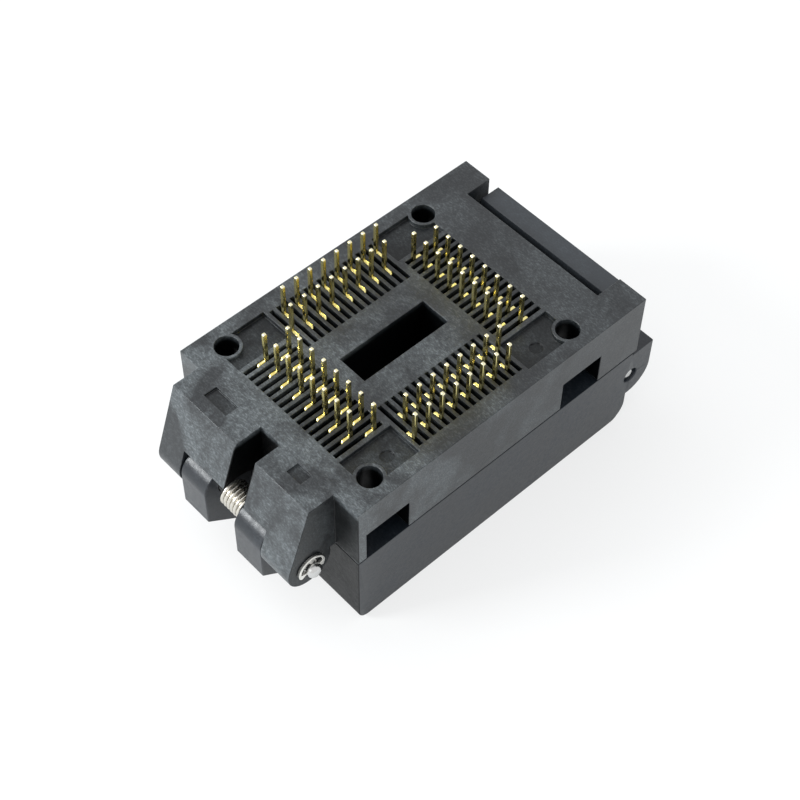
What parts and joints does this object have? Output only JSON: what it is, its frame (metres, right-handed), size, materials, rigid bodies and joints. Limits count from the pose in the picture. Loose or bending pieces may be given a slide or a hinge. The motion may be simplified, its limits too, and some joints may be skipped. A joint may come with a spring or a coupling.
{
  "type": "zif socket",
  "caption": "Clamshell zero-insertion-force test socket for a square surface-mount package: hinged lid, spring latch and four sides of staggered gold solder tails",
  "frame": {"origin": "centre of the contact array on the mounting face of the base, within half a millimetre of the centre of the four mounting holes; the socket is stored as pictured, closed, on its lid", "axes": "+X from the hinge to the latch, +Y to the far side, +Z out of the mounting face along the solder tails"},
  "size_m": [0.0432, 0.0238, 0.0207],
  "materials": {
    "black_moulding": "glass-filled moulded plastic, charcoal black, matte",
    "dark_insert": "moulded plastic insert, dark grey, matte",
    "steel": "plain steel",
    "bright_steel": "bright stainless steel",
    "gold_plate": "thin gold plate over copper alloy, tinned tail ends"
  },
  "bodies": {
    "lid": {"lid": "black_moulding", "pad_springs": "steel", "hinge_pin": "bright_steel", "hinge_clips": "bright_steel", "hinge_spring": "bright_steel", "latch_pin": "bright_steel", "latch_spring": "bright_steel"},
    "base": {"base_housing": "black_moulding", "nest": "dark_insert", "nest_screws": "steel", "contacts_hinge_a": "gold_plate", "contacts_hinge_b": "gold_plate", "contacts_latch_a": "gold_plate", "contacts_latch_b": "gold_plate", "contacts_near_a": "gold_plate", "contacts_near_b": "gold_plate", "contacts_far_a": "gold_plate", "contacts_far_b": "gold_plate"},
    "latch": {"latch": "black_moulding"},
    "pad": {"pressure_pad": "dark_insert", "pad_screws": "steel"}
  },
  "joints": [
    {"name": "shell_hinge", "type": "hinge", "parent": "lid", "child": "base", "pos_m": [-0.018, 0, -0.008], "axis": [0, -1, 0], "range_deg": [0, 100], "deforming": ["hinge_spring"]},
    {"name": "latch_pivot", "type": "hinge", "parent": "lid", "child": "latch", "pos_m": [0.02005, 0, -0.0111], "axis": [0, 1, 0], "range_deg": [0, 12], "stiffness_Nm_per_rad": 0.06, "springref_deg": -22.92, "deforming": ["latch_spring"]},
    {"name": "pad_float", "type": "slide", "parent": "lid", "child": "pad", "axis": [0, 0, 1], "range_m": [-0.0005, 0], "stiffness_N_per_m": 1500, "springref_m": 0.002, "deforming": ["pad_springs"]}
  ]
}
